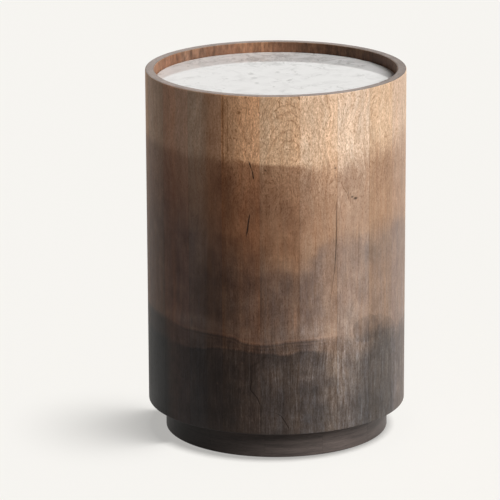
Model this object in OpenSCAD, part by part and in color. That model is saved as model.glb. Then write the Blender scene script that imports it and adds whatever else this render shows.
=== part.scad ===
// Round drum side table: a coopered drum of solid wood staves, a marble disc let in
// below its rim, and a set-back ring plinth. Millimetres, +Z up, front towards -Y.
// The origin is on the floor, under the middle of the table.

/* [Drum] */
// Outer diameter of the drum
drum_d = 350; // [300:5:450]
// Height of the whole table, from the floor to the rim
table_h = 500; // [420:5:600]
// Number of staves glued edge to edge round the drum
stave_count = 21; // [16:1:30]
// Azimuth of a stave joint, from the front towards +X, in degrees
stave_joint_turn = -6.9; // [-8:0.1:8]
// Thickness of a stave
stave_t = 18; // [16:0.5:24]
// Width of the rim that the top rebate leaves
rim_w = 12; // [9:0.5:13.5]
// Radius of the eased edges at the rim and the foot of the drum
drum_ease = 1.2; // [0.5:0.1:2]

/* [Marble top] */
// Depth of the marble's face below the rim
marble_drop = 14; // [5:0.5:20]
// Thickness of the marble disc
marble_t = 12; // [10:0.5:20]
// Gap between the marble's edge and the rim
marble_gap = 1; // [0.5:0.1:2]
// Radius of the marble's polished arris
marble_ease = 1; // [0.5:0.1:2]
// Thickness of the board that carries the marble
sub_top_t = 12; // [9:0.5:18]
// Number of clear bedding pads under the marble
bedding_count = 8; // [4:1:12]
// Diameter of a bedding pad
bedding_d = 10; // [6:1:16]
// Thickness of a bedding pad
bedding_t = 1.5; // [1:0.1:3]
// Distance from the marble's edge to the middle of a bedding pad
bedding_inset = 40; // [20:1:80]

/* [Bottom board] */
// Thickness of the bottom board
bottom_t = 15; // [12:0.5:20]
// Width of the rebate that the bottom board sits in
bottom_rebate_w = 6; // [4:0.5:9]
// Glue clearance round each board
board_gap = 0.3; // [0.2:0.05:0.5]

/* [Splines] */
// Thickness of a joint spline, across the wall
spline_t = 4; // [3:0.5:5]
// Width of a joint spline, along the wall
spline_w = 14; // [8:1:16]
// Distance that a spline stops short of each rebate
spline_stop = 20; // [5:1:60]
// Clearance of a spline in its groove
spline_gap = 0.1; // [0.05:0.05:0.3]

/* [Plinth] */
// Distance that the plinth is set back from the drum's side
plinth_setback = 23.5; // [20:0.5:35]
// Height of the plinth ring
plinth_h = 39; // [30:1:60]
// Width of the plinth ring, in towards the middle
plinth_w = 30; // [26:1:45]
// Number of mitred segments in the plinth ring
plinth_count = 12; // [8:2:16]
// Azimuth of a plinth joint, from the front towards +X, in degrees
plinth_joint_turn = -6; // [-10:0.5:10]
// Radius of the eased edges of the plinth
plinth_ease = 1; // [0.5:0.1:2]

/* [Screws] */
// Shank diameter of a plinth screw
screw_d = 4.5; // [4:0.5:5]
// Overall length of a plinth screw
screw_len = 40; // [30:1:45]
// Head diameter of a plinth screw
screw_head_d = 9; // [8:0.5:10]
// Depth that a screw head lies below the board's face
screw_sink = 0.5; // [0.2:0.1:1]
// Clearance round a screw in its hole
screw_gap = 0.1; // [0.05:0.05:0.3]
// Width of a slot of the cross recess in a screw head
cross_w = 1.2; // [0.8:0.1:1.4]
// Span of the cross recess in a screw head
cross_span = 5; // [4:0.5:6]
// Depth of the cross recess in a screw head
cross_depth = 1.8; // [1:0.1:2]

/* [Felt pads] */
// Diameter of a felt pad
felt_d = 20; // [14:1:24]
// Thickness of a felt pad
felt_t = 3; // [2:0.5:5]
// Height that a felt pad stands out of the plinth
felt_stand = 1; // [0.5:0.1:1.5]
// Clearance round a felt pad in its recess
felt_gap = 0.3; // [0.2:0.1:0.6]

/* [Hidden] */
// Facets of a full circle
$fn = 96;
// Steps of an eased quarter-round edge
ease_steps = 5;
// Overshoot of a cut past the face it opens
past = 1;

// Heights above the floor
plinth_z = felt_stand;
drum_z = plinth_z + plinth_h;
bottom_top_z = drum_z + bottom_t;
marble_top_z = table_h - marble_drop;
marble_z = marble_top_z - marble_t;
bedding_z = marble_z - bedding_t;
ledge_z = bedding_z - sub_top_t;

// Radii
drum_r = drum_d / 2;
rim_r = drum_r - rim_w;
wall_r = drum_r - stave_t;
bottom_rebate_r = wall_r + bottom_rebate_w;
marble_r = rim_r - marble_gap;
plinth_r = drum_r - plinth_setback;
plinth_in_r = plinth_r - plinth_w;
plinth_mid_r = plinth_r - plinth_w / 2;

// The front is at -90 degrees on a circle counted from +X
front = -90;
stave_step = 360 / stave_count;
plinth_step = 360 / plinth_count;

// Splines stand in the middle of the full-thickness wall
spline_r = drum_r - stave_t / 2;
spline_z = bottom_top_z + spline_stop;
spline_h = ledge_z - spline_stop - spline_z;

// Screws go down through the bottom board into the plinth, one in each segment
screw_top_z = bottom_top_z - screw_sink;
screw_head_h = (screw_head_d - screw_d) / 2;
screw_point_h = screw_d;

// Every second plinth segment has a felt pad
felt_count = plinth_count / 2;

function two_digits(n) = str(n < 10 ? "0" : "", n);
function stave_name(n) = str("stave_", two_digits(n));
function plinth_name(n) = str("plinth_segment_", two_digits(n));
function stave_turn(n) = front + stave_joint_turn + (n - 1) * stave_step;
function plinth_turn(n) = front + plinth_joint_turn + (n - 1) * plinth_step;

// Points of an eased corner: an arc of radius r about the point c, from angle a to b
function ease(c, r, a, b) = [
    for (k = [0 : ease_steps])
        let (t = a + (b - a) * k / ease_steps)
        c + r * [cos(t), sin(t)]
];

// Section of a stave: eased outside and rim, a rebate for each board inside
module stave_section() {
    polygon(concat(
        ease([drum_r - drum_ease, drum_z + drum_ease], drum_ease, -90, 0),
        ease([drum_r - drum_ease, table_h - drum_ease], drum_ease, 0, 90),
        ease([rim_r + drum_ease, table_h - drum_ease], drum_ease, 90, 180),
        [
            [rim_r, ledge_z],
            [wall_r, ledge_z],
            [wall_r, bottom_top_z],
            [bottom_rebate_r, bottom_top_z],
            [bottom_rebate_r, drum_z]
        ]
    ));
}

// A spline, or with a gap its groove, across the joint at one azimuth
module spline_block(turn, gap) {
    rotate([0, 0, turn])
        translate([spline_r - spline_t / 2 - gap, -spline_w / 2 - gap, spline_z - gap])
            cube([spline_t + 2 * gap, spline_w + 2 * gap, spline_h + 2 * gap]);
}

// One stave, with half a spline groove in each bevelled edge
module stave(n) {
    color(n % 3 == 0 ? "#8a6748" : n % 3 == 1 ? "#7c5b41" : "#93704f")
        difference() {
            rotate([0, 0, stave_turn(n)])
                rotate_extrude(angle = stave_step)
                    stave_section();
            spline_block(stave_turn(n), spline_gap);
            spline_block(stave_turn(n + 1), spline_gap);
        }
}

module stave_splines() {
    color("#c9a878")
        for (n = [1 : stave_count])
            spline_block(stave_turn(n), 0);
}

// Polished marble disc with eased arrises
module marble_top() {
    color("#e9e6e3")
        rotate_extrude()
            polygon(concat(
                [[0, marble_z]],
                ease([marble_r - marble_ease, marble_z + marble_ease], marble_ease, -90, 0),
                ease([marble_r - marble_ease, marble_top_z - marble_ease], marble_ease, 0, 90),
                [[0, marble_top_z]]
            ));
}

// Clear pads that bed the marble on its board
module bedding_pads() {
    color("#dfe5e8")
        for (n = [1 : bedding_count])
            rotate([0, 0, n * 360 / bedding_count])
                translate([marble_r - bedding_inset, 0, bedding_z])
                    cylinder(d = bedding_d, h = bedding_t);
}

// Board that sits on the ledge of the top rebate
module sub_top() {
    color("#c7a77c")
        translate([0, 0, ledge_z])
            cylinder(r = rim_r - board_gap, h = sub_top_t);
}

// Places one screw, or its hole, over the middle of plinth segment n
module at_screw(n) {
    rotate([0, 0, plinth_turn(n) + plinth_step / 2])
        translate([plinth_mid_r, 0, screw_top_z])
            children();
}

// Screw body from its head's face down, with a gap all round where it cuts a hole
module screw_body(gap) {
    translate([0, 0, -screw_head_h])
        cylinder(d1 = screw_d + 2 * gap, d2 = screw_head_d + 2 * gap, h = screw_head_h);
    translate([0, 0, screw_point_h - screw_len])
        cylinder(d = screw_d + 2 * gap, h = screw_len - screw_head_h - screw_point_h);
    translate([0, 0, -screw_len - gap])
        cylinder(d1 = 2 * gap, d2 = screw_d + 2 * gap, h = screw_point_h + gap);
}

// Way for a screw: its own shape and the sunk mouth over its head
module screw_hole() {
    screw_body(screw_gap);
    cylinder(d = screw_head_d + 2 * screw_gap, h = screw_sink + past);
}

// Countersunk wood screw with a cross recess
module screw() {
    difference() {
        screw_body(0);
        for (turn = [0, 90])
            rotate([0, 0, turn])
                translate([-cross_span / 2, -cross_w / 2, -cross_depth])
                    cube([cross_span, cross_w, cross_depth + past]);
    }
}

// Board in the bottom rebate, drilled and countersunk for the plinth screws
module bottom_board() {
    color("#b08f66")
        difference() {
            translate([0, 0, drum_z])
                cylinder(r = bottom_rebate_r - board_gap, h = bottom_t);
            for (n = [1 : plinth_count])
                at_screw(n) screw_hole();
        }
}

module plinth_screws() {
    color("#b9b4a5")
        for (n = [1 : plinth_count])
            at_screw(n) screw();
}

// Section of the plinth ring, eased outside
module plinth_section() {
    polygon(concat(
        ease([plinth_r - plinth_ease, plinth_z + plinth_ease], plinth_ease, -90, 0),
        ease([plinth_r - plinth_ease, drum_z - plinth_ease], plinth_ease, 0, 90),
        [
            [plinth_in_r, drum_z],
            [plinth_in_r, plinth_z]
        ]
    ));
}

// Places a felt pad, or its recess, under the middle of plinth segment n
module at_felt(n) {
    rotate([0, 0, plinth_turn(n) + plinth_step / 2])
        translate([plinth_mid_r, 0, 0])
            children();
}

// One mitred segment, drilled for its screw, and recessed for a pad if it has one
module plinth_segment(n) {
    color("#4a403a")
        difference() {
            rotate([0, 0, plinth_turn(n)])
                rotate_extrude(angle = plinth_step)
                    plinth_section();
            at_screw(n) screw_hole();
            if (n % 2 == 1)
                at_felt(n)
                    translate([0, 0, plinth_z - past])
                        cylinder(d = felt_d + 2 * felt_gap, h = felt_t - felt_stand + past);
        }
}

module felt_pads() {
    color("#6b665f")
        for (n = [1 : felt_count])
            at_felt(2 * n - 1)
                cylinder(d = felt_d, h = felt_t);
}

for (n = [1 : stave_count])
    stave(n);
stave_splines();
marble_top();
bedding_pads();
sub_top();
bottom_board();
for (n = [1 : plinth_count])
    plinth_segment(n);
plinth_screws();
felt_pads();
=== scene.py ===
import math
from types import SimpleNamespace

import bmesh
import bpy
from mathutils import Matrix, Vector, noise
from mathutils.geometry import tessellate_polygon


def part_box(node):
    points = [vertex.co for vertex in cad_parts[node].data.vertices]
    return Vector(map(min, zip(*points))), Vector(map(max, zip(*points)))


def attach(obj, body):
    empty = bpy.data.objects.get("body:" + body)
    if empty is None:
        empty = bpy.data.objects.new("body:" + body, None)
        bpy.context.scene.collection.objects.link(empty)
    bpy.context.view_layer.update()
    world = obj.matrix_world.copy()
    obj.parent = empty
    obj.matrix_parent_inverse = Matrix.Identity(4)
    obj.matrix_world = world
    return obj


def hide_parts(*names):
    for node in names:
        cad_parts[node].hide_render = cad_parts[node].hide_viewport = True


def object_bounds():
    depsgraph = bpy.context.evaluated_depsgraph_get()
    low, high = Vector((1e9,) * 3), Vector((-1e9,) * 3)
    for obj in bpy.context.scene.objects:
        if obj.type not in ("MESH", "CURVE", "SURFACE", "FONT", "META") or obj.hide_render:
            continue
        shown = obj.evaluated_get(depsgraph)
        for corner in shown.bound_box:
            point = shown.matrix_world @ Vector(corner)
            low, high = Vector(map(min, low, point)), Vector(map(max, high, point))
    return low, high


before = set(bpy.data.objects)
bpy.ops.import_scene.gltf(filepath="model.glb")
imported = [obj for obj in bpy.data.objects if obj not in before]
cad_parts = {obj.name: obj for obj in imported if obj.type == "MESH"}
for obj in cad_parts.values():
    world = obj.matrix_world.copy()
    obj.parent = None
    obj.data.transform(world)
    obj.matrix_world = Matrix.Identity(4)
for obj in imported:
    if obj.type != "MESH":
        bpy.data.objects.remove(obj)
CAD_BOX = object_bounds()

# The drum is measured in metres, its finish in millimetres and degrees of azimuth.
# Azimuth 0 is the front, which faces -Y, and +90 is the right side, which faces +X.
MM = 0.001

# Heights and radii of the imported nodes
DRUM_R = round(CAD_BOX[1].x, 4)
TABLE_H = round(CAD_BOX[1].z, 4)
DRUM_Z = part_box("bottom_board")[0].z
BOTTOM_TOP_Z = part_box("bottom_board")[1].z
LEDGE_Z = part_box("sub_top")[0].z
MARBLE_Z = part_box("marble_top")[0].z
MARBLE_TOP_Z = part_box("marble_top")[1].z
MARBLE_R = round(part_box("marble_top")[1].x, 4)
MARBLE_GAP = 1 * MM
RIM_R = MARBLE_R + MARBLE_GAP
STAVE_T = 18 * MM
WALL_R = DRUM_R - STAVE_T
REBATE_DEEP = 6 * MM
REBATE_R = WALL_R + REBATE_DEEP
PLINTH_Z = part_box("plinth_segment_01")[0].z
PLINTH_SETBACK = 23.5 * MM
PLINTH_R = DRUM_R - PLINTH_SETBACK
PLINTH_W = 30 * MM
PLINTH_IN_R = PLINTH_R - PLINTH_W
PLINTH_MID_R = PLINTH_R - PLINTH_W / 2

# Staves, counted from the one at the front towards the right
STAVE_COUNT = 21
STAVE_ANGLE = 360 / STAVE_COUNT
JOINT_AZIMUTH = -6.9
STAVE_W = math.radians(STAVE_ANGLE) * DRUM_R
STAVE_W_MM = STAVE_W / MM
MM_PER_DEGREE = math.radians(1) * DRUM_R / MM
DRUM_EASE = 1.2 * MM
GROOVE_R = (163.9 * MM, 168.1 * MM)
GROOVE_STOP = 19.9 * MM
GROOVE_Z = (BOTTOM_TOP_Z + GROOVE_STOP, LEDGE_Z - GROOVE_STOP)
GROOVE_DEEP = 7.1 * MM

# Plinth segments, counted like the staves
PLINTH_COUNT = 12
PLINTH_ANGLE = 360 / PLINTH_COUNT
PLINTH_JOINT_AZIMUTH = -6.0
PLINTH_EASE = 1 * MM
JOINT_V = 0.15 * MM

# A felt pad, and its section from the foot up as shares of its radius and thickness
FELT_R = 10 * MM
FELT_T = 3 * MM
FELT_FUZZ = 0.02
FELT_SECTION = ((0.86, 0.0), (0.95, 0.1), (1.0, 0.35), (1.0, 0.9), (0.97, 1.0))

# The marble's arris, how much its size drifts, and the ring inside it that keeps the face flat
MARBLE_EASE = 1 * MM
MARBLE_DRIFT = 0.25
MARBLE_FLAT = 3 * MM

# Mesh steps, and the angle in degrees from which an edge stays sharp
EASE_STEPS = 5
STAVE_ROWS = 184
SIDE_COLUMNS = 7
PLINTH_COLUMNS = 24
ARRIS_STEPS = 12
RING_STEPS = 288
FELT_STEPS = 32
FLOOR_STEPS = 96
SHARP_ANGLE = 34

# Checks in the staves: height in mm, azimuth in degrees and depth as a share, from the foot up
CHECKS = {
    0: [
        (46, 5.6, 0), (51, 5.1, 0.6), (59, 3.5, 0.7), (66, 2.2, 0.7), (70, 0.4, 0.6), (73, -2.4, 0),
    ],
    1: [
        (190, 23.4, 0), (225, 24.0, 0.22), (262, 26.0, 0.34), (285, 26.6, 0.5), (310, 26.8, 0.5),
        (340, 26.8, 0.42), (371, 26.8, 0),
    ],
    20: [
        (80, -6.9, 0), (84, -7.4, 0.6), (91, -8.3, 0.8), (102, -11.4, 0.8), (112, -11.0, 0.6),
        (127, -10.2, 0), (306, -13.0, 0), (315, -12.7, 0.45), (320, -12.4, 1.0),
        (334, -11.8, 1.0), (339, -11.5, 0.8), (344, -11.4, 0), (388, -9.6, 0), (392, -9.7, 0.85),
        (398, -10.0, 0.7), (403, -10.5, 0.3), (409, -11.2, 0.85), (416, -11.9, 0),
    ],
}
CHECK_HALF_W = 0.6 * MM
CHECK_DEEP = 0.35 * MM
CHECK_SIDES = 0.6

# Bare wood, as linear colours, and how its hue drifts from cool to warm
COOL_WARM = ((0.91, 1.02, 1.1), (1.09, 0.98, 0.87))
TONES = {
    "wheat": (0.65, 0.445, 0.3),
    "cream": (0.65, 0.475, 0.348),
    "barley": (0.59, 0.41, 0.276),
    "oat": (0.58, 0.41, 0.296),
    "sand": (0.57, 0.36, 0.22),
    "honey": (0.58, 0.32, 0.175),
    "rose": (0.53, 0.29, 0.185),
    "dun": (0.5, 0.31, 0.2),
    "ash": (0.47, 0.285, 0.185),
}
STAVE_TONES = (
    "sand wheat cream barley oat wheat sand dun wheat sand dun "
    "sand dun oat ash sand honey dun rose ash honey"
).split()


def linear(points, at):
    """Values of a broken line at a place, held past its ends."""
    if at <= points[0][0]:
        return points[0][1:]
    for low, high in zip(points, points[1:]):
        if at <= high[0]:
            share = (at - low[0]) / (high[0] - low[0])
            return tuple(a + (b - a) * share for a, b in zip(low[1:], high[1:]))
    return points[-1][1:]


def evenly(start, end, steps):
    """Places at even steps from start to end."""
    return [start + (end - start) * n / steps for n in range(steps + 1)]


class Term:
    """A socket of a material's nodes that can stand in a formula."""

    def __init__(self, net, socket):
        self.net = net
        self.socket = socket

    def __add__(self, other):
        return self.net.math("ADD", self, other)

    def __sub__(self, other):
        return self.net.math("SUBTRACT", self, other)

    def __rsub__(self, other):
        return self.net.math("SUBTRACT", other, self)

    def __mul__(self, other):
        return self.net.math("MULTIPLY", self, other)

    def __truediv__(self, other):
        return self.net.math("DIVIDE", self, other)

    __radd__ = __add__
    __rmul__ = __mul__


class Net:
    """The nodes of one material or world, added by formulas."""

    def __init__(self, block):
        block.use_nodes = True
        self.block = block
        self.tree = block.node_tree
        self.tree.nodes.clear()

    def add(self, kind, inputs, **settings):
        """A new node with its settings, and with each input set or linked."""
        node = self.tree.nodes.new(kind)
        for key, value in settings.items():
            setattr(node, key, value)
        for key, value in inputs.items():
            if isinstance(value, Term):
                self.tree.links.new(value.socket, node.inputs[key])
            elif isinstance(value, tuple) and len(node.inputs[key].default_value) == 4:
                node.inputs[key].default_value = (*value, 1.0)
            else:
                node.inputs[key].default_value = value
        return node

    def term(self, kind, inputs, output=0, **settings):
        """One output of a new node."""
        return Term(self, self.add(kind, inputs, **settings).outputs[output])

    def math(self, operation, *values):
        return self.term("ShaderNodeMath", dict(enumerate(values)), operation=operation)

    def clamp(self, value):
        return self.term("ShaderNodeClamp", {"Value": value})

    def combine(self, x, y, z):
        return self.term("ShaderNodeCombineXYZ", {0: x, 1: y, 2: z})

    def split(self, vector):
        node = self.add("ShaderNodeSeparateXYZ", {0: vector})
        return [Term(self, socket) for socket in node.outputs]

    def scaled(self, vector, scale):
        return self.term("ShaderNodeVectorMath", {0: vector, 1: scale}, operation="MULTIPLY")

    def position(self):
        """Place in the table's frame, in millimetres."""
        place = self.term("ShaderNodeTexCoord", {}, "Object")
        return self.split(self.scaled(place, (1 / MM,) * 3))

    def azimuth(self, x, y):
        """Turn about the table's axis in degrees, from the front towards the right."""
        return self.math("ARCTAN2", x, y * -1.0) * math.degrees(1)

    def length(self, x, y):
        return self.math("SQRT", x * x + y * y)

    def level(self):
        """1 on a face that looks up or down, 0 on an upright one."""
        normal = self.term("ShaderNodeNewGeometry", {}, "Normal")
        return self.math("ABSOLUTE", self.split(normal)[2])

    def noise(self, vector, size, detail=2.0, rough=0.5):
        """Noise from 0 to 1 whose lumps have a size along each axis."""
        vector = self.scaled(vector, tuple(1 / s for s in size))
        inputs = {"Vector": vector, "Scale": 1.0, "Detail": detail, "Roughness": rough}
        return self.term("ShaderNodeTexNoise", inputs, "Fac")

    def swing(self, vector, size, detail=2.0, rough=0.5):
        """Noise that swings about 0, mostly between -1 and 1."""
        return (self.noise(vector, size, detail, rough) - 0.5) * 3.2

    def rise(self, value, low, high):
        """A smooth step from 0 at low to 1 at high."""
        inputs = {"Value": value, "From Min": low, "From Max": high}
        return self.term("ShaderNodeMapRange", inputs, interpolation_type="SMOOTHSTEP")

    def between(self, value, up, full, down, gone):
        """1 from full to down, with smooth steps to 0 at up and at gone."""
        return self.rise(value, up, full) * self.rise(value, gone, down)

    def band(self, value, middle, half):
        """A smooth bump of height 1 at middle, gone at half on both sides."""
        return self.rise(self.math("ABSOLUTE", value - middle), half, 0.0)

    def around(self, azimuth, points):
        """A smooth curve through points of azimuth and value."""
        low = min(value for turn, value in points)
        high = max(value for turn, value in points)
        node = self.add("ShaderNodeFloatCurve", {"Value": azimuth / 360.0 + 0.5})
        curve = node.mapping.curves[0]
        while len(curve.points) < len(points):
            curve.points.new(0.5, 0.5)
        for point, (turn, value) in zip(curve.points, points):
            point.location = (turn / 360.0 + 0.5, (value - low) / (high - low))
        node.mapping.update()
        return Term(self, node.outputs[0]) * (high - low) + low

    def mix(self, factor, a, b):
        return self.term("ShaderNodeMix", {0: factor, 6: a, 7: b}, 2, data_type="RGBA")

    def tinted(self, colour, by):
        """A colour multiplied by another, or by a number."""
        if isinstance(by, Term) and by.socket.type == "VALUE":
            by = self.combine(by, by, by)
        inputs = {0: 1.0, 6: colour, 7: by}
        return self.term("ShaderNodeMix", inputs, 2, data_type="RGBA", blend_type="MULTIPLY")

    def steps(self, value, colours):
        """One flat colour for each whole number that value takes."""
        ramp = self.add("ShaderNodeValToRGB", {0: (value + 0.5) / len(colours)})
        ramp.color_ramp.interpolation = "CONSTANT"
        stops = ramp.color_ramp.elements
        stops[1].position = 1 / len(colours)
        for n in range(2, len(colours)):
            stops.new(n / len(colours))
        for stop, colour in zip(stops, colours):
            stop.color = (*colour, 1.0)
        return Term(self, ramp.outputs[0])

    def surface(self, colour, roughness, height, relief, **fixed):
        """Closes a material with its gloss, and with a relief in metres."""
        bump = self.term("ShaderNodeBump", {"Height": height, "Distance": relief})
        inputs = {"Base Color": colour, "Roughness": roughness, "Normal": bump}
        shader = self.term("ShaderNodeBsdfPrincipled", {**inputs, **fixed})
        self.add("ShaderNodeOutputMaterial", {0: shader})
        return self.block


def new_material(name):
    return Net(bpy.data.materials.new(name))


# Tables round the drum, all of (azimuth, value). First, the lightness of the bare wood
WOOD_LIGHT = (
    (-180, 1.0), (-120, 1.05), (-80, 0.92), (-66, 0.92), (-57, 0.9), (-47, 1.24), (-40, 1.2),
    (-34, 1.1), (-29, 0.82), (-24.5, 0.84), (-22, 0.86), (-17, 0.98), (-10, 1.15), (-7.5, 1.13),
    (-5, 1.08), (-2, 1.09), (4, 1.03), (9, 1.06), (15, 0.99), (24, 1.04), (31, 1.04), (39, 0.94),
    (46, 0.97), (51, 1.02), (75, 1.0), (120, 0.96), (180, 1.0),
)

# How much warmer the bare wood is
WOOD_WARMTH = (
    (-180, 0.0), (-60, 0.0), (-52, 0.1), (-46, -0.5), (-36, -0.4), (-31, 0.3), (-27, 0.5),
    (-22, 0.1), (-15, 0.0), (30, 0.1), (60, 0.1), (80, 0.0), (180, 0.0),
)

# How strongly the fine grain shows
FIGURE_STRENGTH = (
    (-180, 0.9), (-75, 0.5), (-45, 0.5), (-28, 0.6), (-18, 1.05), (0, 1.1), (20, 1.0),
    (40, 0.9), (180, 0.9),
)

# Dyes: how strongly each takes red, green and blue out of the wood
BROWN_DYE = (1.0, 1.22, 1.32)
GREY_DYE = (1.0, 0.72, 0.28)
CHARCOAL_DYE = (1.0, 0.8, 0.62)
SOOT_DYE = (1.0, 0.97, 0.92)
GRAIN_DYE = (1.0, 1.25, 1.5)

# Depth of the grain in the satin finish
WOOD_RELIEF = 0.06 * MM

# Pigment of the lower dye that stays on the surface
FILM_COLOUR = (0.042, 0.035, 0.031)
FILM_STRENGTH = 0.26

# Strength of each dye
BROWN_STRENGTH = (
    (-180, 0.8), (-120, 0.9), (-70, 0.8), (-58, 0.77), (-45, 0.64), (-35, 0.54), (-28, 0.66),
    (-20, 0.98), (-9, 1.06), (0, 0.88), (8, 0.84), (14, 0.74), (20, 0.62), (30, 0.58),
    (40, 0.48), (50, 0.54), (70, 0.46), (110, 0.6), (180, 0.8),
)
GREY_STRENGTH = (
    (-180, 0.4), (-110, 0.4), (-62, 0.34), (-46, 0.44), (-36, 0.46), (-28, 0.5), (-20, 0.62),
    (-10, 0.52), (-2, 0.58), (6, 0.48), (13, 0.46), (22, 0.36), (32, 0.26), (40, 0.28),
    (50, 0.3), (60, 0.4), (80, 0.35), (120, 0.35), (180, 0.4),
)
# The lower dye's strength; its peak near azimuth -66, at the left edge, is painted shade
CHARCOAL_AND_SHADE_STRENGTH = (
    (-180, 1.0), (-110, 1.4), (-66, 2.9), (-55, 1.26), (-45, 1.02), (-35, 1.2), (-28, 1.06),
    (-20, 0.98), (-10, 1.08), (-3, 0.78), (4, 0.86), (13, 0.82), (20, 0.86), (29, 0.78),
    (38, 0.94), (48, 1.12), (60, 1.0), (75, 0.56), (110, 0.9), (180, 1.0),
)

# Heights of the dyes' edges
BROWN_EDGE = (
    (-180, 412), (-120, 418), (-60, 413), (-24, 413), (-12, 412), (-6, 409), (9, 408),
    (16, 403), (24, 403), (40, 410), (62, 418), (110, 414), (180, 412),
)
GREY_EDGE = (
    (-180, 297), (-100, 310), (-60, 332), (-42, 330), (-30, 318), (-18, 288), (-8, 278),
    (6, 268), (14, 274), (23, 300), (50, 306), (110, 290), (180, 297),
)
FIRST_EDGE = (
    (-180, 174), (-150, 176), (-110, 182), (-60, 179), (-54, 178), (-40, 174), (-26, 174),
    (-16, 168), (-7, 164), (0, 165.5), (9, 169), (19, 169), (26, 168), (34, 166), (42, 167),
    (50, 168), (60, 164), (70, 162), (110, 174), (150, 173), (180, 174),
)
SECOND_EDGE = (
    (-180, 150), (-110, 156), (-60, 150), (-40, 149), (-24, 155), (-12, 153.5), (-6, 153),
    (-1, 152), (4, 151), (10, 155), (18, 153), (25, 149), (32, 141), (40, 138), (47, 147),
    (56, 154), (70, 150), (110, 156), (180, 150),
)

# Where the wood took more or less of a dye, and one oval of painted shade: azimuth, height, half
# sizes in mm, and how much
BROWN_PATCHES = (
    (-3, 374, 30, 38, 0.1), (-23, 386, 26, 30, 0.26), (-10, 350, 20, 30, 0.1),
    (4, 345, 22, 30, 0.14), (14, 386, 14, 20, 0.16), (34, 384, 26, 24, 0.2),
    (56, 386, 34, 26, 0.18), (-20, 436, 14, 30, 0.1), (-11, 222, 14, 32, -0.16),
    (22, 215, 14, 36, -0.16), (-2, 104, 60, 40, -0.08), (28, 118, 22, 48, -0.13),
    (-55, 226, 14, 66, -0.14), (-28, 438, 10, 20, 0.12), (-36, 182, 17, 15, 0.3),
    (-35, 228, 24, 62, 0.12), (-13, 206, 24, 60, -0.16), (32, 190, 24, 40, -0.14),
    (4, 276, 16, 22, -0.14), (13.5, 300, 15, 44, -0.1), (49.5, 396, 4.5, 56, 0.2),
    (57, 400, 12, 40, 0.08), (34, 440, 20, 40, -0.05),
)
# In the lower dye's patches, the first oval, at azimuth -30, is painted shade on the left side,
# which turns away from the light
CHARCOAL_AND_SHADE_PATCHES = (
    (-30, 222, 38, 78, 0.42), (46, 276, 34, 22, 0.16), (-45, 183, 14, 14, 0.14),
    (-40, 185, 2.2, 11, 0.3), (-13, 206, 24, 60, 0.14), (32, 190, 24, 40, 0.14),
    (8.2, 198, 3.6, 26, -0.36),
)
SOOT_PATCHES = (
    (-29, 116, 34, 34, 0.28), (-11, 114, 13, 34, 0.32), (-30, 64, 26, 30, 0.16),
    (-21, 64, 14, 26, 0.34), (-8, 62, 34, 24, -0.28), (4, 64, 12, 14, -0.2), (13, 62, 9, 14, 0.16),
    (4, 152, 20, 9, -0.34), (1, 128, 34, 18, -0.14), (-1, 100, 10, 22, -0.14),
    (14, 78, 40, 16, 0.12), (13, 118, 19, 8, -0.3), (13, 99, 26, 12, 0.38),
    (24, 108, 16, 11, 0.3), (20, 64, 26, 22, 0.34), (31, 116, 11, 26, -0.18),
    (40, 62, 60, 34, 0.18), (51, 66, 18, 34, 0.18), (68, 66, 16, 34, -0.34),
    (37, 124, 14, 34, -0.2), (39, 152, 15, 12, -0.22), (49, 138, 8, 34, 0.1),
    (63, 118, 6, 40, -0.12), (43, 92, 7, 36, 0.08), (-46, 107, 6, 4, 0.35), (71, 107, 5, 7, 0.3),
    (-15, 139, 1.8, 2.2, -0.6), (-26.5, 107, 2.4, 2.4, -0.7),
)
CLOUD_LOBES = (
    (43.5, 173, 29, 18, 0.7), (50, 172, 22, 18, 0.55), (57, 158, 28, 22, 0.7),
    (56, 138, 44, 30, 0.4),
)

# Knots and small marks, in the same terms
KNOTS = (
    (36.6, 355.6, 4.8, 2.6, 0.9), (34.8, 358.4, 3.2, 2.2, 0.7), (32.8, 364, 1.2, 6, 0.35),
    (26.3, 400.5, 2.6, 1.9, 0.75), (-4.4, 401.5, 2.2, 1.6, 0.7), (9.9, 498, 1.2, 4, 0.8),
)
# Colour of the dark knots, and of the painted shade inside the checks
KNOT_AND_CHECK_SHADE = (0.016, 0.009, 0.006)

# Streaks, each from (azimuth, height) to (azimuth, height): half width in mm, how much darker
STREAKS = (
    ((-23.3, 502), (-23.1, 396), 2.0, 0.5), ((-21.2, 502), (-21.0, 412), 1.0, 0.45),
    ((-18.6, 500), (-18.9, 440), 0.9, 0.25), ((-3.6, 150), (-11.6, 133), 2.2, 0.45),
    ((-11.3, 139), (-11.0, 100), 2.2, 0.5), ((-15.5, 300), (-16.2, 190), 1.3, 0.12),
    ((29.0, 380), (33.5, 352), 0.9, 0.45), ((1.5, 398), (2.1, 330), 1.2, 0.2),
    ((17.4, 330), (16.6, 196), 1.2, 0.22), ((38.5, 330), (38.2, 240), 1.3, 0.2),
    ((5.8, 150), (6.4, 60), 1.4, 0.35), ((24.3, 162), (25.4, 96), 1.1, 0.42),
)

# Where the lower dye ran off and left the wood paler, in the same terms
PALE_STREAKS = (
    ((21.5, 182), (28.5, 104), 25.0, -0.27), ((26.5, 142), (32.5, 62), 8.0, -0.26),
)

# End grain of the rim and the foot, and the wall inside the rim: its tint, which is painted shade
# in the recess under the rim, and its painted light and shade by azimuth, lighter at the left,
# which faces the key light, and darker at the right
RIM_COLOUR = (0.21, 0.168, 0.147)
FOOT_COLOUR = (0.05, 0.04, 0.036)
INSIDE_PAINTED_SHADE = (0.37, 0.3, 0.262)
INSIDE_PAINTED_LIGHT = (
    (-180, 0.95), (-168, 1.15), (-150, 0.86), (-130, 1.0), (-100, 1.2), (-60, 1.0), (0, 1.0),
    (60, 0.9), (100, 0.6), (130, 0.5), (150, 0.52), (166, 0.66), (180, 0.9),
)


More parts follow.
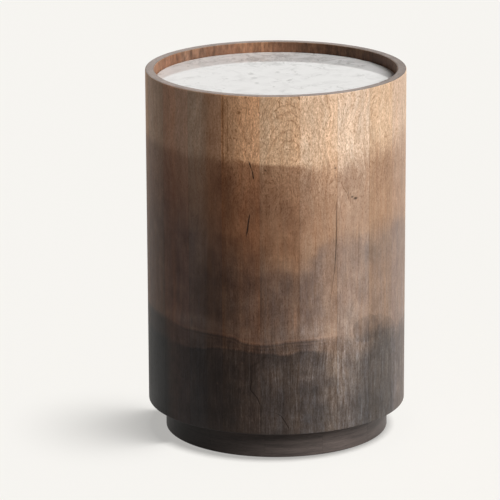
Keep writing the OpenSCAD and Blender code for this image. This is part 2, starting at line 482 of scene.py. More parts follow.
def drum_place(net):
    """Where a point lies on the drum, and in the board that its stave was cut from."""
    x, y, z = net.position()
    azimuth = net.azimuth(x, y)
    turns = (azimuth - JOINT_AZIMUTH) / STAVE_ANGLE
    number = net.math("FLOORED_MODULO", net.math("FLOOR", turns), STAVE_COUNT)
    across = net.math("FRACT", turns) * STAVE_W_MM
    radius = net.length(x, y)
    board = net.combine(across + number * 61, radius, z + number * 173)
    return SimpleNamespace(
        azimuth=azimuth, arc=azimuth * MM_PER_DEGREE, z=z, number=number,
        across=across, radius=radius, board=board, round=net.combine(x, y, z),
    )


def growth_lines(net, at, lean, leaning):
    """Fine dark lines where the growth rings meet the face, which arch on the front stave."""
    pith = net.term("ShaderNodeTexWhiteNoise", {"W": at.number + 3}, "Color", noise_dimensions="1D")
    shift, slope, depth = net.split(pith)
    sideways = at.across + lean * 0.6 - shift * STAVE_W_MM
    inward = depth * 40 + 14 + at.z * (slope - 0.5) * 0.3
    wobble = net.swing(leaning, (16, 16, 34), 3)
    ring = net.length(sideways, inward) + wobble * 5
    from_top = at.across - 37
    arches = at.z + from_top * from_top * 0.04 + wobble * 8
    arched = net.math("COMPARE", at.number, 0.0, 0.1) * net.rise(at.z, 395, 430)
    phase = net.math("FRACT", ring / 8 + (arches / 13 - ring / 8) * arched)
    drawn = net.rise(net.swing(leaning, (12, 12, 60)), -0.5, 0.8)
    lines = net.rise(phase, 0.7, 0.92) - net.rise(phase, 0.93, 1.0)
    return lines * (drawn + arched * (1.0 - drawn) * 0.5) * (0.6 + arched * 0.3)


def stave_figure(net, at):
    """Grain of the staves: dashes, pores and lines from 0 up, the rest about 0."""
    lean = net.swing(at.board, (40, 40, 90)) * (net.rise(at.z, 280, 400) * 9 + 4)
    along = at.z + at.number * 173
    leaning = net.combine(at.across + at.number * 61 + lean, at.radius, along)
    slanting = at.across + at.number * 97 - at.z * 0.5 + lean
    return SimpleNamespace(
        leaning=leaning,
        bands=net.swing(leaning, (9, 9, 260), 3),
        streaks=net.swing(leaning, (2.6, 2.6, 90), 3),
        fibres=net.swing(leaning, (1.3, 1.3, 24), 3, 0.6),
        curl=net.swing(leaning, (1.8, 1.8, 6), 2, 0.6),
        dashes=net.rise(net.noise(leaning, (1.15, 1.15, 5), 1.0), 0.54, 0.7),
        grit=net.swing(at.board, (1.5, 1.5, 2.2), 1.0),
        mottle=net.swing(leaning, (5, 5, 12)),
        clouds=net.swing(leaning, (14, 14, 24)),
        silk=net.swing(net.combine(slanting, at.radius, along), (8, 8, 50)),
        pores=net.rise(net.noise(leaning, (0.9, 0.9, 6), 1.0), 0.62, 0.72),
        lines=growth_lines(net, at, lean, leaning),
    )


def spot(net, at, azimuth, z, wide, high, inner=0.2):
    """1 in the middle of an oval on the drum, falling to 0 at its edge: half sizes in mm."""
    u = (at.arc - azimuth * MM_PER_DEGREE) / wide
    v = (at.z - z) / high
    return net.rise(net.length(u, v), 1.0, inner)


def spots(net, at, ovals, inner=0.2):
    """The sum of ovals that each count for so much."""
    total = 0.0
    for azimuth, z, wide, high, amount in ovals:
        total = spot(net, at, azimuth, z, wide, high, inner) * amount + total
    return total


def streak(net, at, start, end, half):
    """1 along a line between two places, fading to its sides and its ends."""
    run = Vector(((end[0] - start[0]) * MM_PER_DEGREE, end[1] - start[1]))
    length = run.length
    run.normalize()
    u, v = at.arc - start[0] * MM_PER_DEGREE, at.z - start[1]
    along = net.math("ABSOLUTE", u * run.x + v * run.y - length / 2)
    side = u * run.y - v * run.x
    return net.band(side, 0.0, half) * net.rise(along, length * 0.5, length * 0.3)


def blurred(at, figure):
    """The place on the drum, shifted so that an oval there gets a torn edge."""
    side = figure.mottle * 0.4 + figure.clouds * 1.2
    up = figure.clouds * 3 + figure.fibres * 0.8 + figure.streaks
    return SimpleNamespace(arc=at.arc + side, z=at.z + up)


def brown_dye(net, at, figure, torn, stain):
    """The upper dye: a crisp edge at the front, and a soft one at the sides."""
    right = net.between(at.azimuth, 8, 30, 110, 178)
    left = net.between(at.azimuth, -178, -110, -24, -8)
    soft = right * 20 + left * 6 + 2.5
    above = at.z - net.around(at.azimuth, BROWN_EDGE) + figure.streaks * (right * 5 + 1.5)
    above = above + stain.wide * 3 + figure.bands * (right * 7 + left * 1.5)
    amount = net.rise(above, soft, soft * -1.0) * 0.66 + net.rise(above, 6, -64) * 0.34
    amount = amount * net.around(at.azimuth, BROWN_STRENGTH)
    tide = at.z - net.around(at.azimuth, FIRST_EDGE)
    front = net.between(at.azimuth, -64, -54, 24, 30)
    amount = amount - net.band(tide, 12, 17) * front * 0.28
    amount = amount * (1.0 + stain.wide * 0.14 + stain.patchy * 0.2 + figure.bands * 0.1)
    return amount + spots(net, torn, BROWN_PATCHES)


def grey_dye(net, at, figure, stain):
    """The middle dye, faded in and streaked."""
    left = net.between(at.azimuth, -178, -110, -24, 20)
    soft = left * 24 + 17
    above = at.z - net.around(at.azimuth, GREY_EDGE) - stain.wide * 9
    above = above + figure.bands * 7 + figure.streaks * 6 + figure.fibres * 3
    amount = net.rise(above, soft, soft * -1.0) * net.around(at.azimuth, GREY_STRENGTH)
    banded = figure.bands * (net.rise(at.z, 150, 200) * 0.28 + 0.1)
    return amount * (1.0 + stain.patchy * 0.24 + banded)


def charcoal_dye(net, at, figure, torn, stain):
    """The lower dye, laid in two dips, with painted shade at the left added to it, and how much
    darker their tide lines are.
    """
    cloudy = net.between(at.azimuth, 14, 30, 80, 100)
    wick = figure.streaks * 2 + figure.fibres * 1.5
    ragged = cloudy * 1.2 + 0.25
    above = at.z - net.around(at.azimuth, FIRST_EDGE) + stain.wide * 1.2 + wick * ragged
    below = at.z - net.around(at.azimuth, SECOND_EDGE) + stain.wide * 2.5 + wick * (ragged + 0.3)
    soft = cloudy * 7 + net.rise(at.azimuth, -40, -62) * 4 + 1.2
    first = net.rise(above, soft, soft * -1.0)
    second = net.rise(below, soft * 1.6, soft * -1.6)
    deep = net.rise(at.z + stain.wide * 16, 130, 40)
    amount = first * 0.38 + second * 0.46 + deep * 0.2
    amount = amount * net.around(at.azimuth, CHARCOAL_AND_SHADE_STRENGTH)
    amount = amount + spots(net, torn, CHARCOAL_AND_SHADE_PATCHES)

    tides = (1.0 - cloudy) * net.between(at.azimuth, -60, -20, 130, 178)
    broken = net.rise(stain.patchy, -0.6, 0.3)
    dark = net.band(above, -1.6, 1.5) + net.band(above, -6.2, 1.3) * broken
    dark = dark + net.band(below, -1.5, 2.2) * 0.7
    pale = net.band(above, 2.8, 2.2) + net.band(above, -4, 1.3) * broken * 0.8
    pale = pale + net.band(below, 2.5, 1.6) * 0.8
    return amount, (dark * 0.26 - pale * 0.22) * tides


def soot(net, at, torn, stain):
    """Unevenness of the lower dye, which changes its depth and not its hue."""
    blotches = (stain.patchy * 0.15 + stain.wide * 0.06) * net.rise(at.z, 172, 150)
    frayed = SimpleNamespace(arc=torn.arc + stain.patchy * 2.5, z=torn.z + stain.patchy * 2.5)
    cloud = spots(net, frayed, CLOUD_LOBES, 0.84) * net.rise(at.z, 118, 160)
    total = cloud * (0.4 + stain.patchy * 0.1) + blotches
    for start, end, half, amount in PALE_STREAKS:
        total = streak(net, frayed, start, end, half) * amount + total
    return total + spots(net, torn, SOOT_PATCHES)


def soaked(net, wood, *amounts):
    """The wood under dyes, each as (what it takes out, how much of it there is)."""
    left = []
    for channel in range(3):
        taken = sum(amount * dye[channel] for dye, amount in amounts)
        left.append(net.math("EXPONENT", taken * -1.0))
    return net.tinted(wood, net.combine(*left))


def bare_wood(net, at, figure):
    """Undyed wood with its darker grain and its drifts of hue."""
    wood = net.steps(at.number, [TONES[name] for name in STAVE_TONES])
    warm = net.swing(figure.leaning, (6, 6, 60), 3) * 0.5 + figure.clouds * 0.2
    warm = warm + net.around(at.azimuth, WOOD_WARMTH) * 2
    hue = net.mix(net.clamp(warm * 0.5 + 0.5), *COOL_WARM)
    wood = net.tinted(net.tinted(wood, hue), net.around(at.azimuth, WOOD_LIGHT))
    fine = figure.dashes * (figure.clouds * 0.16 + 0.44) + figure.lines * 0.42
    fine = fine + figure.pores * 0.2 - 0.05
    fine = fine - figure.fibres * 0.2 - figure.curl * 0.08 - figure.grit * 0.26
    fine = fine - figure.mottle * 0.1
    clear = net.rise(at.z, 300, 420) * 0.5 + 0.5
    wide = figure.bands * 0.05 + figure.streaks * 0.1 + figure.clouds * 0.09
    wide = wide + figure.silk * net.rise(at.z, 390, 430) * 0.09
    grain = fine * net.around(at.azimuth, FIGURE_STRENGTH) * clear - wide
    return soaked(net, wood, (GRAIN_DYE, grain))


def dyed(net, at, figure, wood):
    """The outer face: wood with dark streaks, under its dyes and a thin film."""
    stain = SimpleNamespace(
        wide=net.swing(at.round, (34, 34, 26), 3), patchy=net.swing(at.round, (15, 15, 20), 3),
    )
    torn = blurred(at, figure)
    deep = net.rise(at.z, 300, 160) * 0.4 + net.rise(at.z, 176, 150)
    deep = deep * net.around(at.azimuth, FIGURE_STRENGTH)
    deep = deep * (net.rise(at.azimuth, -42, -12) * 0.5 + 0.5)
    drawn = figure.dashes * 0.14 - figure.streaks * 0.15 - figure.fibres * 0.27
    drawn = (drawn - figure.mottle * 0.15 - figure.grit * 0.1) * deep
    for start, end, half, amount in STREAKS:
        drawn = streak(net, torn, start, end, half) * amount + drawn
    charcoal, tides = charcoal_dye(net, at, figure, torn, stain)
    wood = soaked(
        net, wood, (GRAIN_DYE, drawn),
        (BROWN_DYE, brown_dye(net, at, figure, torn, stain)),
        (GREY_DYE, grey_dye(net, at, figure, stain)),
        (CHARCOAL_DYE, charcoal),
        (SOOT_DYE, soot(net, at, torn, stain) + tides),
    )
    film = net.tinted(FILM_COLOUR, 1.0 + figure.fibres * 0.3 + figure.streaks * 0.2)
    laid = net.rise(at.z, 176, 140) * (1.0 - net.band(at.azimuth, 29, 14) * 0.5)
    return net.mix(laid * FILM_STRENGTH, wood, film)


def rim_wood(net, at):
    """End grain of the rim and the foot, stained dark in places, with painted shade along the rim's
    arrises and darker towards the right.
    """
    specks = net.swing(at.round, (2.2, 2.2, 2.2), 3)
    stains = net.swing(at.round, (16, 16, 16), 3)
    ends = net.mix(net.rise(at.z, 200, 300), FOOT_COLOUR, RIM_COLOUR)
    # Painted shade along the rim's inner and outer arrises, and darker towards the right side
    rim_darkening = net.rise(at.radius, 165.4, 163.6) * 0.4 + net.rise(at.radius, 172.8, 174.6) * 0.3
    rim_darkening = rim_darkening + net.between(at.azimuth, 20, 75, 130, 160) * 0.25
    return net.tinted(ends, 1.0 + specks * 0.24 + stains * 0.18 - rim_darkening)


def inner_wall(net, at, wood):
    """The wall inside the rim, streaked, with painted shade that darkens it and painted light that
    is brighter at the left.
    """
    streaks = net.swing(at.board, (3.5, 3.5, 9), 3)
    bands = net.swing(at.board, (11, 11, 60))
    # Painted light and shade by azimuth, with the wall's own streaks and bands
    shade = net.around(at.azimuth, INSIDE_PAINTED_LIGHT) * (1.0 + streaks * 0.5 + bands * 0.46)
    wood = net.mix(0.4, wood, TONES["rose"])
    # The tint is painted shade in the recess under the rim
    return net.tinted(net.tinted(wood, INSIDE_PAINTED_SHADE), shade)


def stave_material():
    """Dyed staves: a satin face, end grain at the rim and foot, and stained wood inside."""
    net = new_material("dyed_stave_wood")
    at = drum_place(net)
    figure = stave_figure(net, at)
    wood = bare_wood(net, at, figure)
    face = dyed(net, at, figure, wood)

    # Painted shade inside the checks, and the dark knots
    check = net.term("ShaderNodeAttribute", {}, "Fac", attribute_name="check")
    dark = net.clamp(net.rise(check, 0.02, 0.55) + spots(net, at, KNOTS))
    face = net.mix(dark * 0.92, face, KNOT_AND_CHECK_SHADE)
    seam = net.math("MINIMUM", at.across, STAVE_W_MM - at.across)
    face = net.mix(net.rise(seam, 0.8, 0.1) * 0.12, face, KNOT_AND_CHECK_SHADE)

    level = net.level()
    face = net.mix(net.rise(level, 0.5, 0.95), face, rim_wood(net, at))
    inside = net.rise(at.radius, 166, 164) * net.rise(level, 0.9, 0.4)
    face = net.mix(inside, face, inner_wall(net, at, wood))

    rough = 0.5 + figure.fibres * 0.04 + figure.pores * 0.12 + dark * 0.4
    height = figure.fibres * 0.35 + figure.curl * 0.3 - figure.pores * 0.8 - figure.lines * 0.2
    return net.surface(face, rough, height, WOOD_RELIEF, IOR=1.34)


# Colours of the plinth and of its joints, and painted shade on it by azimuth, darkest at the left
PLINTH_COLOUR = (0.105, 0.082, 0.073)
PLINTH_JOINT = (0.02, 0.015, 0.012)
PLINTH_PAINTED_SHADE = (
    (-180, 0.9), (-100, 0.3), (-62, 0.2), (-45, 0.34), (-20, 0.8), (0, 0.86), (20, 0.96),
    (42, 0.76), (60, 0.66), (80, 0.66), (180, 0.9),
)


def plinth_material():
    """Charcoal wood whose grain runs level, round the ring, with painted shade that darkens it most
    at the left.
    """
    net = new_material("charcoal_plinth_wood")
    x, y, z = net.position()
    azimuth = net.azimuth(x, y)
    turns = (azimuth - PLINTH_JOINT_AZIMUTH) / PLINTH_ANGLE
    number = net.math("FLOORED_MODULO", net.math("FLOOR", turns), PLINTH_COUNT)
    width = math.radians(PLINTH_ANGLE) * PLINTH_R / MM
    along = net.math("FRACT", turns) * width
    radius = net.length(x, y)
    board = net.combine(along + number * 211, radius, z + number * 83)
    streaks = net.swing(board, (70, 4, 4), 3)
    fibres = net.swing(board, (14, 1.2, 1.2), 3, 0.6)
    pores = net.rise(net.noise(board, (5, 0.7, 0.7), 1.0), 0.66, 0.74)
    shade = 1.0 + streaks * 0.44 + fibres * 0.3 - pores * 0.35
    # Painted shade by azimuth, darkest at the left
    colour = net.tinted(PLINTH_COLOUR, shade * net.around(azimuth, PLINTH_PAINTED_SHADE))
    edge = net.math("MINIMUM", along, width - along)
    colour = net.mix(net.rise(edge, 0.5, 0.1) * 0.2, colour, PLINTH_JOINT)
    return net.surface(colour, 0.5 + fibres * 0.05, fibres * 0.4 - pores, WOOD_RELIEF, IOR=1.36)


# Colours of the marble, and its specks as (x, y, half size) in mm
MARBLE_GREY = (0.5, 0.485, 0.48)
MARBLE_WHITE = (0.81, 0.8, 0.785)
MARBLE_VEIN = (0.34, 0.33, 0.32)
MARBLE_SPECKS = (
    (-65, -4, 2.6), (-69, -65, 2.2), (-33, 23, 6), (-29, -2, 6.5), (-25, -32, 5), (3, 35, 4.5),
    (-2, -53, 3), (26, 78, 3), (99, 87, 4.5), (88, 103, 4), (119, 74, 3.5), (148, 42, 3),
    (145, -28, 2.4), (-104, 98, 3), (-119, 73, 3.5), (-58, 121, 4), (47, 71, 2.5), (19, -15, 4),
)


def marble_specks(net, x, y, place):
    """Small grey marks with ragged edges, drawn out from left to right."""
    ragged = net.swing(place, (5, 8, 5)) * 2.2
    specks = 0.0
    for speck_x, speck_y, half in MARBLE_SPECKS:
        u, v = x - speck_x + ragged, (y - speck_y) * 0.55 + ragged
        specks = net.rise(net.length(u, v), half, half * 0.2) + specks
    return net.clamp(specks)


def marble_material():
    """Polished white marble with grey clouds, faint veins and specks; at the back a painted
    reflection of the dark rim wall darkens it and makes its veins and flecks denser.
    """
    net = new_material("polished_marble")
    x, y, z = net.position()
    place = net.combine(x, y, z)
    drift = net.swing(place, (70, 60, 60), 3)
    veined = net.combine(x + drift * 30, y + drift * 18, z)
    ridge = net.math("ABSOLUTE", net.swing(veined, (52, 60, 60), 4, 0.55))
    # Painted reflection of the dark rim wall: darker at the back, with stronger veins and flecks
    back = net.rise(y, 50, 110)
    drawn = net.clamp(net.rise(net.noise(place, (40, 40, 40)), 0.42, 0.62) + back)
    veins = net.rise(ridge, back * 0.07 + 0.06, 0.0) * drawn
    crossing = net.math("ABSOLUTE", net.swing(veined, (16, 26, 20), 4, 0.62))
    veins = veins + net.rise(crossing, 0.12, 0.0) * back * 0.9
    clouds = net.swing(veined, (18, 24, 30), 4, 0.62) * 0.5 + 0.96
    clouds = net.clamp(clouds - back * 0.08)
    grains = net.swing(place, (1.6, 2.4, 2))
    flecks = net.rise(net.noise(place, (3.5, 6, 5)) + back * 0.05, 0.7, 0.82)
    colour = net.mix(clouds, MARBLE_GREY, MARBLE_WHITE)
    dark = veins * 0.4 + flecks * (back * 0.3 + 0.4) + marble_specks(net, x, y, place) * 0.46
    colour = net.mix(net.clamp(dark), colour, MARBLE_VEIN)
    colour = net.tinted(colour, 1.0 + grains * 0.02)
    return net.surface(colour, 0.04 + flecks * 0.08, grains, 0.003 * MM, IOR=1.62)


# Colours of the plain pieces
PLY_COLOUR = (0.55, 0.4, 0.25)
PLY_GLUE = (0.2, 0.12, 0.07)
PAD_COLOURS = ((0.7, 0.74, 0.76), (0.82, 0.85, 0.86))
ZINC_COLOURS = ((0.52, 0.49, 0.4), (0.66, 0.64, 0.56))
FELT_COLOUR = (0.15, 0.14, 0.13)


def ply_material():
    """Birch plywood: level plies at its edges and straight grain on its faces."""
    net = new_material("birch_plywood")
    x, y, z = net.position()
    grain = net.swing(net.combine(x, y, z), (60, 2.2, 30), 3)
    glue = net.band(net.math("FRACT", z / 1.5), 0.5, 0.1) * net.rise(net.level(), 0.7, 0.2)
    colour = net.tinted(PLY_COLOUR, 1.0 + grain * 0.08)
    colour = net.mix(glue * 0.6, colour, PLY_GLUE)
    return net.surface(colour, 0.6 + grain * 0.03, grain, 0.05 * MM, IOR=1.45)


def pad_material():
    """Clear soft plastic, a little cloudy."""
    net = new_material("clear_bedding_pad")
    cloud = net.noise(net.combine(*net.position()), (2, 2, 2))
    colour = net.mix(cloud, *PAD_COLOURS)
    return net.surface(colour, 0.2 + cloud * 0.1, cloud, 0.02 * MM, IOR=1.46)


def zinc_material():
    """Zinc-plated steel with a faint warm cast."""
    net = new_material("zinc_screw")
    wipe = net.noise(net.combine(*net.position()), (1.2, 1.2, 0.3))
    colour = net.mix(wipe, *ZINC_COLOURS)
    return net.surface(colour, 0.28 + wipe * 0.15, wipe, 0.01 * MM, Metallic=1.0)


def felt_material():
    """Pressed dark felt."""
    net = new_material("pressed_felt")
    place = net.combine(*net.position())
    hairs = net.swing(place, (0.35, 0.35, 0.35), 3, 0.7)
    tufts = net.swing(place, (2.5, 2.5, 2.5))
    colour = net.tinted(FELT_COLOUR, 1.0 + hairs * 0.25 + tufts * 0.1)
    fixed = {"Sheen Weight": 0.3, "Sheen Roughness": 0.5}
    return net.surface(colour, 0.92 + hairs * 0.03, hairs, 0.2 * MM, **fixed)


def arc(centre, radius, start, end):
    """Points of an arc in a section, between two angles in degrees."""
    turns = [math.radians(turn) for turn in evenly(start, end, EASE_STEPS)]
    return [(centre[0] + radius * math.cos(a), centre[1] + radius * math.sin(a)) for a in turns]


def drawn_in(section, depth):
    """The section moved inwards by a depth, along its normals."""
    moved = []
    for n, (r, z) in enumerate(section):
        before, after = section[n - 1], section[(n + 1) % len(section)]
        along = Vector((after[0] - before[0], after[1] - before[1])).normalized()
        moved.append((r - along.y * depth, z + along.x * depth))
    return moved


def around_axis(azimuth, r, z):
    """A point of the frame from its azimuth in degrees, radius and height."""
    turn = math.radians(azimuth)
    return Vector((r * math.sin(turn), -r * math.cos(turn), z))


def new_object(name, data):
    thing = bpy.data.objects.new(name, data)
    bpy.context.scene.collection.objects.link(thing)
    return thing


def new_piece(name, build, material, slot, *nodes):
    """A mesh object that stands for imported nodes, smooth but for its sharp edges."""
    mesh = bpy.data.meshes.new(name)
    bmesh.ops.recalc_face_normals(build, faces=build.faces)
    build.normal_update()
    build.to_mesh(mesh)
    build.free()
    mesh.shade_smooth()
    mesh.set_sharp_from_angle(angle=math.radians(SHARP_ANGLE))
    mesh.materials.append(material)
    piece = new_object(name, mesh)
    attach(piece, "root")
    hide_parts(*nodes)
    return piece


def skin(build, strips):
    """Faces between neighbouring strips of vertices, each strip a closed outline."""
    for left, right in zip(strips, strips[1:]):
        for n in range(len(left)):
            m = (n + 1) % len(left)
            build.faces.new([left[n], right[n], right[m], left[m]])


def stack(build, rings):
    """Faces between rings of vertices from the foot up, closed at both ends."""
    for low, high in zip(rings, rings[1:]):
        for n in range(len(low)):
            m = (n + 1) % len(low)
            build.faces.new([low[n], low[m], high[m], high[n]])
    build.faces.new(rings[0][::-1])
    build.faces.new(rings[-1])


def grooved_cap(build, rim, azimuth, inwards):
    """Closes a stave's joint face, with half of the spline's groove let into it."""
    side = around_axis(azimuth + 90, inwards, 0)
    corners = (
        (GROOVE_R[0], GROOVE_Z[0]), (GROOVE_R[1], GROOVE_Z[0]),
        (GROOVE_R[1], GROOVE_Z[1]), (GROOVE_R[0], GROOVE_Z[1]),
    )
    mouth = [build.verts.new(around_axis(azimuth, r, z)) for r, z in corners]
    floor = [build.verts.new(v.co + side * GROOVE_DEEP) for v in mouth]
    both = rim + mouth
    flat = [
        [Vector((math.hypot(v.co.x, v.co.y), v.co.z, 0)) for v in loop] for loop in (rim, mouth)
    ]
    for triangle in tessellate_polygon(flat):
        build.faces.new([both[n] for n in triangle])
    for n in range(4):
        build.faces.new([mouth[n], mouth[(n + 1) % 4], floor[(n + 1) % 4], floor[n]])
    build.faces.new(floor)


def stave_section():
    """A stave's section as (radius, height), from the foot up and back inside."""
    e = DRUM_EASE
    step = (TABLE_H - DRUM_Z - 2 * e) / STAVE_ROWS
    foot = arc((DRUM_R - e, DRUM_Z + e), e, -90, 0)
    face = [(DRUM_R, DRUM_Z + e + step * n) for n in range(1, STAVE_ROWS)]
    rim_out = arc((DRUM_R - e, TABLE_H - e), e, 0, 90)
    top = [(DRUM_R - 2 * e, TABLE_H), (RIM_R + 2 * e, TABLE_H)]
    rim_in = arc((RIM_R + e, TABLE_H - e), e, 90, 180)
    inside = [
        (RIM_R, TABLE_H - 2 * e), (RIM_R, LEDGE_Z), (WALL_R, LEDGE_Z), (WALL_R, BOTTOM_TOP_Z),
        (REBATE_R, BOTTOM_TOP_Z), (REBATE_R, DRUM_Z),
    ]
    return foot + face + rim_out + top + rim_in + inside


def stave_columns(path):
    """Places across a stave in metres, packed closer over the check at path."""
    lip = 2 * CHECK_HALF_W
    left = evenly(JOINT_V, path - lip, SIDE_COLUMNS)
    right = evenly(path + lip, STAVE_W - JOINT_V, SIDE_COLUMNS)
    check = [path - CHECK_HALF_W, path, path + CHECK_HALF_W]
    return [0.0] + left + check + right + [STAVE_W]


def checked_columns(build, section, start, checks):
    """The section set up across a stave, with its checks cut in and marked for the painted shade
    inside them.
    """
    low = drawn_in(section, JOINT_V)
    middle = SIDE_COLUMNS + 3
    shares = {middle - 1: CHECK_SIDES, middle: 1.0, middle + 1: CHECK_SIDES}
    dark = build.verts.layers.float.new("check")
    columns = [[] for place in stave_columns(STAVE_W / 2)]
    last = len(columns) - 1
    for n, (r, z) in enumerate(section):
        azimuth, depth = linear(checks, z / MM)
        for column, across in enumerate(stave_columns(math.radians(azimuth - start) * DRUM_R)):
            radius, height = low[n] if column in (0, last) else (r, z)
            share = shares.get(column, 0.0) * depth if r == DRUM_R else 0.0
            if column == middle:
                radius -= share * CHECK_DEEP
            along = start + math.degrees(across / DRUM_R)
            vert = build.verts.new(around_axis(along, radius, height))
            vert[dark] = share
            columns[column].append(vert)
    return columns


def stave(number, material):
    """One stave, with its eased edges, its checks and its spline grooves."""
    turns = number if number <= STAVE_COUNT // 2 else number - STAVE_COUNT
    start = JOINT_AZIMUTH + turns * STAVE_ANGLE
    checks = CHECKS.get(number, [(0, start + STAVE_ANGLE / 2, 0)])
    build = bmesh.new()
    columns = checked_columns(build, stave_section(), start, checks)
    skin(build, columns)
    grooved_cap(build, columns[0], start, 1)
    grooved_cap(build, columns[-1], start + STAVE_ANGLE, -1)
    name = f"stave_board_{number + 1:02d}"
    return new_piece(name, build, material, "stave_wood", f"stave_{number + 1:02d}")


def marble_disc(material):
    """The marble disc, with an arris that is a little uneven."""
    build = bmesh.new()
    rings = []
    turns = [math.radians(turn) for turn in evenly(-90, 90, ARRIS_STEPS)]
    for turn in [turns[0]] + turns + [turns[-1]]:
        inset = MARBLE_FLAT if len(rings) in (0, ARRIS_STEPS + 2) else 0.0
        ring = []
        for n in range(RING_STEPS):
            azimuth = 360 * n / RING_STEPS
            drift = noise.noise(around_axis(azimuth, 9.0, 0.0))
            ease = (1.0 + MARBLE_DRIFT * drift) * MARBLE_EASE
            middle = MARBLE_TOP_Z - ease if turn >= 0 else MARBLE_Z + ease
            r = MARBLE_R - ease + ease * math.cos(turn) - inset
            z = middle + ease * math.sin(turn)
            ring.append(build.verts.new(around_axis(azimuth, r, z)))
        rings.append(ring)
    stack(build, rings)
    return new_piece("marble_disc", build, material, "marble", "marble_top")


def plinth_section():
    """A plinth segment's section, in the same order."""
    e = PLINTH_EASE
    foot = arc((PLINTH_R - e, PLINTH_Z + e), e, -90, 0)
    face = [(PLINTH_R, PLINTH_Z + 2 * e), (PLINTH_R, DRUM_Z - 2 * e)]
    head = arc((PLINTH_R - e, DRUM_Z - e), e, 0, 90)
    return foot + face + head + [(PLINTH_IN_R, DRUM_Z), (PLINTH_IN_R, PLINTH_Z)]


def plinth_block(number, material):
    """One mitred segment of the plinth."""
    start = PLINTH_JOINT_AZIMUTH + number * PLINTH_ANGLE
    section = plinth_section()
    low = drawn_in(section, JOINT_V)
    width = math.radians(PLINTH_ANGLE) * PLINTH_R
    places = [0.0] + evenly(JOINT_V, width - JOINT_V, PLINTH_COLUMNS) + [width]
    build = bmesh.new()
    columns = []
    for column, across in enumerate(places):
        outline = low if column in (0, len(places) - 1) else section
        along = start + math.degrees(across / PLINTH_R)
        columns.append([build.verts.new(around_axis(along, r, z)) for r, z in outline])
    skin(build, columns)
    build.faces.new(columns[0])
    build.faces.new(columns[-1])
    name = f"plinth_block_{number + 1:02d}"
    return new_piece(name, build, material, "plinth_wood", f"plinth_segment_{number + 1:02d}")


def felt_discs(material):
    """The six felt pads, with soft round edges."""
    build = bmesh.new()
    for pad in range(PLINTH_COUNT // 2):
        azimuth = PLINTH_JOINT_AZIMUTH + (2 * pad + 0.5) * PLINTH_ANGLE
        centre = around_axis(azimuth, PLINTH_MID_R, 0.0)
        rings = []
        for share, up in FELT_SECTION:
            ring = []
            for n in range(FELT_STEPS):
                turn = math.tau * n / FELT_STEPS
                side = Vector((math.cos(turn), math.sin(turn), 0))
                fuzz = 1.0 - FELT_FUZZ * abs(noise.noise(side * 6 + Vector((0, 0, pad + up))))
                side = side * FELT_R * share * fuzz
                ring.append(build.verts.new(centre + side + Vector((0, 0, FELT_T * up))))
            rings.append(ring)
        stack(build, rings)
    return new_piece("felt_discs", build, material, "felt", "felt_pads")


def dress_nodes(materials):
    """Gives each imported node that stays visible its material."""
    for name, material in materials.items():
        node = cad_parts[name]
        node.data.materials.clear()
        node.data.materials.append(material)


# The camera of the photograph: its place in metres, and its turns in radians
CAMERA_PLACE = (0.0, -4.55, 1.5096)
CAMERA_YAW = -0.0078
CAMERA_PITCH = -0.2708
CAMERA_ROLL = -0.0043
FOCAL_PIXELS = 3475.5
IMAGE_PIXELS = 500
SENSOR = 36.0


def add_camera():
    data = bpy.data.cameras.new("photo_camera")
    data.sensor_width = SENSOR
    data.lens = FOCAL_PIXELS / IMAGE_PIXELS * SENSOR
    camera = new_object("photo_camera", data)
    ahead = Vector((
        math.sin(CAMERA_YAW) * math.cos(CAMERA_PITCH),
        math.cos(CAMERA_YAW) * math.cos(CAMERA_PITCH),
        math.sin(CAMERA_PITCH),
    ))
    right = Vector((math.cos(CAMERA_YAW), -math.sin(CAMERA_YAW), 0))
    level = Matrix((right, right.cross(ahead), -ahead)).transposed()
    turn = level @ Matrix.Rotation(CAMERA_ROLL, 3, "Z")
    camera.matrix_world = Matrix.Translation(CAMERA_PLACE) @ turn.to_4x4()
    bpy.context.scene.camera = camera


# The studio: colours of the backdrop, the floor, its bounce and the fill light
BACKDROP = (0.921, 0.904, 0.871)
FLOOR_COLOUR = (0.87, 0.855, 0.82)
FLOOR_BOUNCE = (0.15, 0.145, 0.14)
FILL_COLOUR = (0.95, 0.98, 1.0)
FILL = 0.08
FLOOR_R = 30.0
SHADOW_LIFT = 0.45

# The backdrop's glow from front to back, how much of it the dark flag hides far off, the painted
# shadow that darkens the floor near the table in gloss, and the rays that see it
SWEEP_LEAN = 0.5
SWEEP_ENDS = -0.6
SWEEP_FULL = 0.1
SWEEP_DARK = 0.1
FLAG_AND_FLOOR_SHADOW = 0.2
FLAG_EDGE = (0.3, 0.6)
FLOOR_REACH = 0.3
NEAR_FLOOR = (0.8, 0.3)
NEAR_FLOOR_PAINTED_SHADOW = 0.25
RAYS_THAT_SEE = ("Camera", "Glossy", "Transmission")

# The staves at the left whose shadow lies on the floor
SHADING_STAVES = slice(15, 18)


def add_sun(name, azimuth, elevation, level, spread, receivers, glossy=True, blockers=None):
    """A wide soft lamp, so far away that it lights its receivers evenly.

    The level is what a white upright face turned to the lamp's azimuth would show."""
    up = math.radians(elevation)
    data = bpy.data.lights.new(name, "SUN")
    data.energy = level * math.pi / math.cos(up)
    data.angle = math.radians(spread)
    lamp = new_object(name, data)
    back = around_axis(azimuth, math.cos(up), math.sin(up))
    lamp.rotation_mode = "QUATERNION"
    lamp.rotation_quaternion = back.to_track_quat("Z", "Y")
    lamp.visible_glossy = glossy
    lamp.light_linking.receiver_collection = receivers
    lamp.light_linking.blocker_collection = blockers


def gathered(name, objects):
    """A collection that says which objects a lamp lights."""
    group = bpy.data.collections.new(name)
    for thing in objects:
        group.objects.link(thing)
    return group


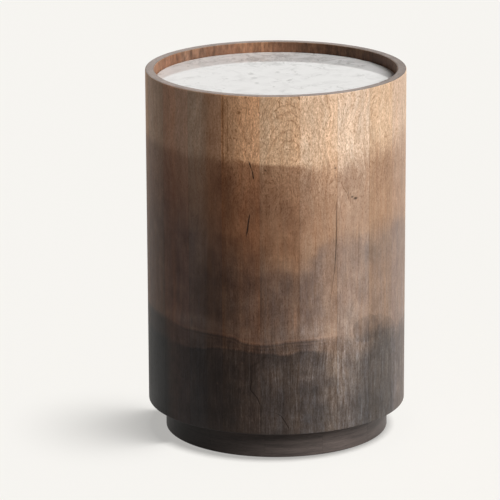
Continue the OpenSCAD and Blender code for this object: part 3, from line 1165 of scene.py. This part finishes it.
def backdrop_rays(net):
    """1 for rays that see the backdrop: those of the eye, of gloss and of glass."""
    seen = [net.term("ShaderNodeLightPath", {}, f"Is {ray} Ray") for ray in RAYS_THAT_SEE]
    return net.math("MAXIMUM", net.math("MAXIMUM", seen[0], seen[1]), seen[2])


def sweep(net, x, y, reach=1.0, dimming=FLAG_AND_FLOOR_SHADOW):
    """How bright the backdrop is at a place or in a direction: 1 to the eye, dim in front and
    behind the table at the left, where the flag hides some of it far off and painted shadow darkens
    the floor near the table."""
    eye = net.term("ShaderNodeLightPath", {}, "Is Camera Ray")
    glow = net.rise(y + x * SWEEP_LEAN, SWEEP_ENDS, SWEEP_FULL) * (1.0 - SWEEP_DARK) + SWEEP_DARK
    low, high = [reach * edge for edge in FLAG_EDGE]
    left_behind = net.rise(x, -low, -high) * net.rise(y, low, high)
    return net.math("MAXIMUM", glow * (1.0 - left_behind * dimming), eye)


def add_world():
    """A pale backdrop for the eye and for gloss, and a weak fill light on the table."""
    world = bpy.data.worlds.new("studio")
    bpy.context.scene.world = world
    net = Net(world)
    x, y, z = net.split(net.term("ShaderNodeTexCoord", {}, "Generated"))
    seen = net.term("ShaderNodeBackground", {"Color": BACKDROP, "Strength": sweep(net, x, y)})
    fill = net.term("ShaderNodeBackground", {"Color": FILL_COLOUR, "Strength": FILL})
    both = net.term("ShaderNodeMixShader", {0: backdrop_rays(net), 1: fill, 2: seen})
    net.add("ShaderNodeOutputWorld", {0: both})


def floor_material():
    """A pale sweep that keeps the shadow, is dim to bounced light, and clear from below, with a
    painted shadow near the table that only gloss sees.
    """
    net = new_material("studio_floor")
    x, y, z = net.split(net.term("ShaderNodeTexCoord", {}, "Object"))
    # Painted shadow of the table on the floor near it, seen in gloss
    near = net.rise(net.length(x, y), *NEAR_FLOOR)
    bright = sweep(net, x, y, FLOOR_REACH, near * NEAR_FLOOR_PAINTED_SHADOW + FLAG_AND_FLOOR_SHADOW)
    seen = backdrop_rays(net)
    colour = net.mix(seen, FLOOR_BOUNCE, net.tinted(FLOOR_COLOUR, bright))
    lit = net.term("ShaderNodeBsdfDiffuse", {"Color": colour})
    glow = net.term("ShaderNodeEmission", {"Color": BACKDROP, "Strength": bright})
    face = net.term("ShaderNodeMixShader", {0: seen * SHADOW_LIFT, 1: lit, 2: glow})
    clear = net.term("ShaderNodeBsdfTransparent", {})
    below = net.term("ShaderNodeNewGeometry", {}, "Backfacing")
    both = net.term("ShaderNodeMixShader", {0: below, 1: face, 2: clear})
    net.add("ShaderNodeOutputMaterial", {0: both})
    return net.block


def add_floor():
    build = bmesh.new()
    bmesh.ops.create_circle(build, cap_ends=True, segments=FLOOR_STEPS, radius=FLOOR_R)
    mesh = bpy.data.meshes.new("studio_floor")
    build.to_mesh(mesh)
    build.free()
    mesh.materials.append(floor_material())
    floor = new_object("studio_floor", mesh)
    return floor


add_camera()
floor = add_floor()
add_world()
bpy.context.scene.view_settings.view_transform = "Standard"

stave_wood = stave_material()
staves = [stave(number, stave_wood) for number in range(STAVE_COUNT)]
marble_disc(marble_material())
plinth_wood = plinth_material()
blocks = [plinth_block(number, plinth_wood) for number in range(PLINTH_COUNT)]
felt_discs(felt_material())
board_ply = ply_material()
dress_nodes({
    "sub_top": board_ply,
    "bottom_board": board_ply,
    "stave_splines": board_ply,
    "bedding_pads": pad_material(),
    "plinth_screws": zinc_material(),
})

pieces = gathered("table", [o for o in bpy.data.objects if o.type == "MESH" and o != floor])
sides = gathered("sides", staves + blocks)
ground = gathered("ground", [floor])
shading = staves[SHADING_STAVES] + blocks + [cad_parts["bottom_board"]]
shaders = gathered("floor_shaders", shading)
add_sun("key_light", 54, 38, 1.1, 40, pieces)
add_sun("back_light", 180, 20, 0.5, 40, sides, glossy=False)
add_sun("left_light", -120, 40, 0.2, 40, sides, glossy=False)
add_sun("floor_light", 90, 80, 0.175, 24, ground, blockers=shaders)
